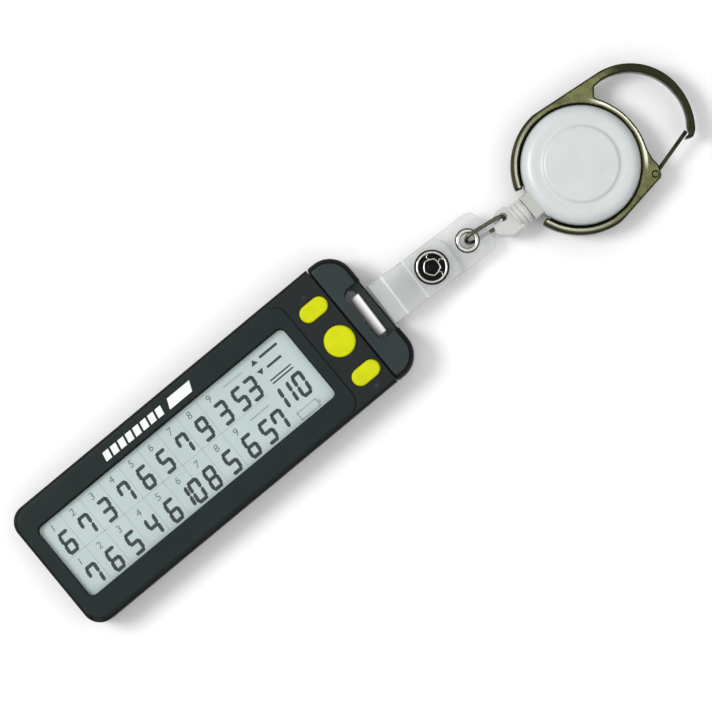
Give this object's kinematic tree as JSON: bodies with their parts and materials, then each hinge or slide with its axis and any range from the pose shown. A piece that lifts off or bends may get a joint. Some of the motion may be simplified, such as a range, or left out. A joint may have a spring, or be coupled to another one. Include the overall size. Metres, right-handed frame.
{
  "type": "digital score counter",
  "caption": "Slim pocket score counter with a segment display and three keys, on a clear snap strap and a retractable reel in a carabiner frame.",
  "frame": {"origin": "centre of the counter's flat back face, on the surface it lies on", "axes": "+X along the counter towards the strap and reel, +Y across it towards the edge above the display, +Z out of the display"},
  "size_m": [0.2103, 0.0434, 0.0112],
  "materials": {
    "case_black": "fine moulded texture",
    "bezel_grey": "satin moulded",
    "screw_steel": "machined",
    "lens_clear": "clear gloss",
    "lcd_glass": "reflective display",
    "frame_white": "moulded",
    "zebra_rubber": "matt",
    "board_green": "solder resist",
    "chip_epoxy": "cured epoxy",
    "plated_steel": "nickel plated",
    "capacitor_tan": "fired",
    "cell_steel": "satin",
    "key_yellow": "satin silicone",
    "strap_vinyl": "clear vinyl",
    "nickel": "polished nickel",
    "link_wire": "polished wire",
    "fitting_white": "moulded",
    "cord_nylon": "braided nylon",
    "reel_white": "soft gloss",
    "spool_white": "moulded",
    "spring_steel": "blued",
    "antique_brass": "aged, polished edges",
    "gate_wire": "dark aged wire"
  },
  "bodies": {
    "counter": {"rear_case": "case_black", "front_case": "case_black", "display_bezel": "bezel_grey", "end_cap": "bezel_grey", "case_screws": "screw_steel", "lens_window": "lens_clear", "lcd_panel": "lcd_glass", "lcd_frame": "frame_white", "zebra_strips": "zebra_rubber", "main_board": "board_green", "controller_chip": "chip_epoxy", "timing_crystal": "plated_steel", "board_capacitors": "capacitor_tan", "coin_cell": "cell_steel", "battery_contact_negative": "plated_steel", "battery_contact_positive": "plated_steel", "dome_up": "plated_steel", "dome_select": "plated_steel", "dome_down": "plated_steel"},
    "door": {"battery_door": "case_black"},
    "up_key": {"key_up": "key_yellow"},
    "select_key": {"key_select": "key_yellow"},
    "down_key": {"key_down": "key_yellow"},
    "strap": {"strap_tail": "strap_vinyl", "eyelet": "nickel", "eyelet_washer": "nickel", "snap_stud": "nickel", "snap_post": "nickel"},
    "flap": {"strap_flap": "strap_vinyl", "snap_cap": "nickel", "snap_socket": "nickel"},
    "link": {"link_ring": "link_wire"},
    "fitting": {"cord_fitting": "fitting_white", "cord_lead": "cord_nylon"},
    "reel": {"reel_front_cover": "reel_white", "reel_rear_cover": "reel_white", "cord_bushing": "fitting_white", "reel_post": "plated_steel", "power_spring": "spring_steel", "carabiner_frame": "antique_brass", "gate_pin": "antique_brass", "gate_spring": "spring_steel"},
    "drum": {"spool": "spool_white", "cord_winding": "cord_nylon"},
    "gate_arm": {"gate": "gate_wire"}
  },
  "joints": [
    {"name": "up_press", "type": "slide", "parent": "counter", "child": "up_key", "axis": [0, 0, -1], "range_m": [0, 0.0004], "stiffness_N_per_m": 2500, "springref_m": -0.0003, "deforming": ["dome_up"]},
    {"name": "select_press", "type": "slide", "parent": "counter", "child": "select_key", "axis": [0, 0, -1], "range_m": [0, 0.0004], "stiffness_N_per_m": 2500, "springref_m": -0.0003, "deforming": ["dome_select"]},
    {"name": "down_press", "type": "slide", "parent": "counter", "child": "down_key", "axis": [0, 0, -1], "range_m": [0, 0.0004], "stiffness_N_per_m": 2500, "springref_m": -0.0003, "deforming": ["dome_down"]},
    {"name": "door_slide", "type": "slide", "parent": "counter", "child": "door", "axis": [-1, 0, 0], "range_m": [0, 0.03]},
    {"name": "strap_swing", "type": "hinge", "parent": "counter", "child": "strap", "pos_m": [0.0545, -0.0007, 0.0055], "axis": [0.0436, 0.999, 0], "range_deg": [-75, 75]},
    {"name": "flap_open", "type": "hinge", "parent": "strap", "child": "flap", "pos_m": [0.06069, -0.00097, 0.0081], "axis": [-0.0436, -0.999, 0], "range_deg": [0, 100]},
    {"name": "link_swing", "type": "hinge", "parent": "strap", "child": "link", "pos_m": [0.08497, -0.00203, 0.0042], "axis": [0, 0, 1], "range_deg": [-30, 30]},
    {"name": "fitting_swing", "type": "hinge", "parent": "link", "child": "fitting", "pos_m": [0.0962, -0.00371, 0.00417], "axis": [0, 0.4695, 0.8829], "range_deg": [-10, 25]},
    {"name": "cord_pull", "type": "slide", "parent": "fitting", "child": "reel", "axis": [1, 0, 0], "range_m": [0, 0.6], "stiffness_N_per_m": 1, "springref_m": -0.5},
    {"name": "drum_spin", "type": "hinge", "parent": "reel", "child": "drum", "pos_m": [0.1205, -0.0059, 0.0052], "axis": [0, 0, 1], "range_deg": [0, 3400], "deforming": ["power_spring"]},
    {"name": "gate_open", "type": "hinge", "parent": "reel", "child": "gate_arm", "pos_m": [0.1344, -0.0204, 0.0052], "axis": [0, 0, 1], "range_deg": [0, 30], "stiffness_Nm_per_rad": 0.01, "springref_deg": -28.65, "deforming": ["gate_spring"]}
  ],
  "couplings": [
    {"joint": "drum_spin", "follows": "cord_pull", "rad_per_m": 98}
  ]
}
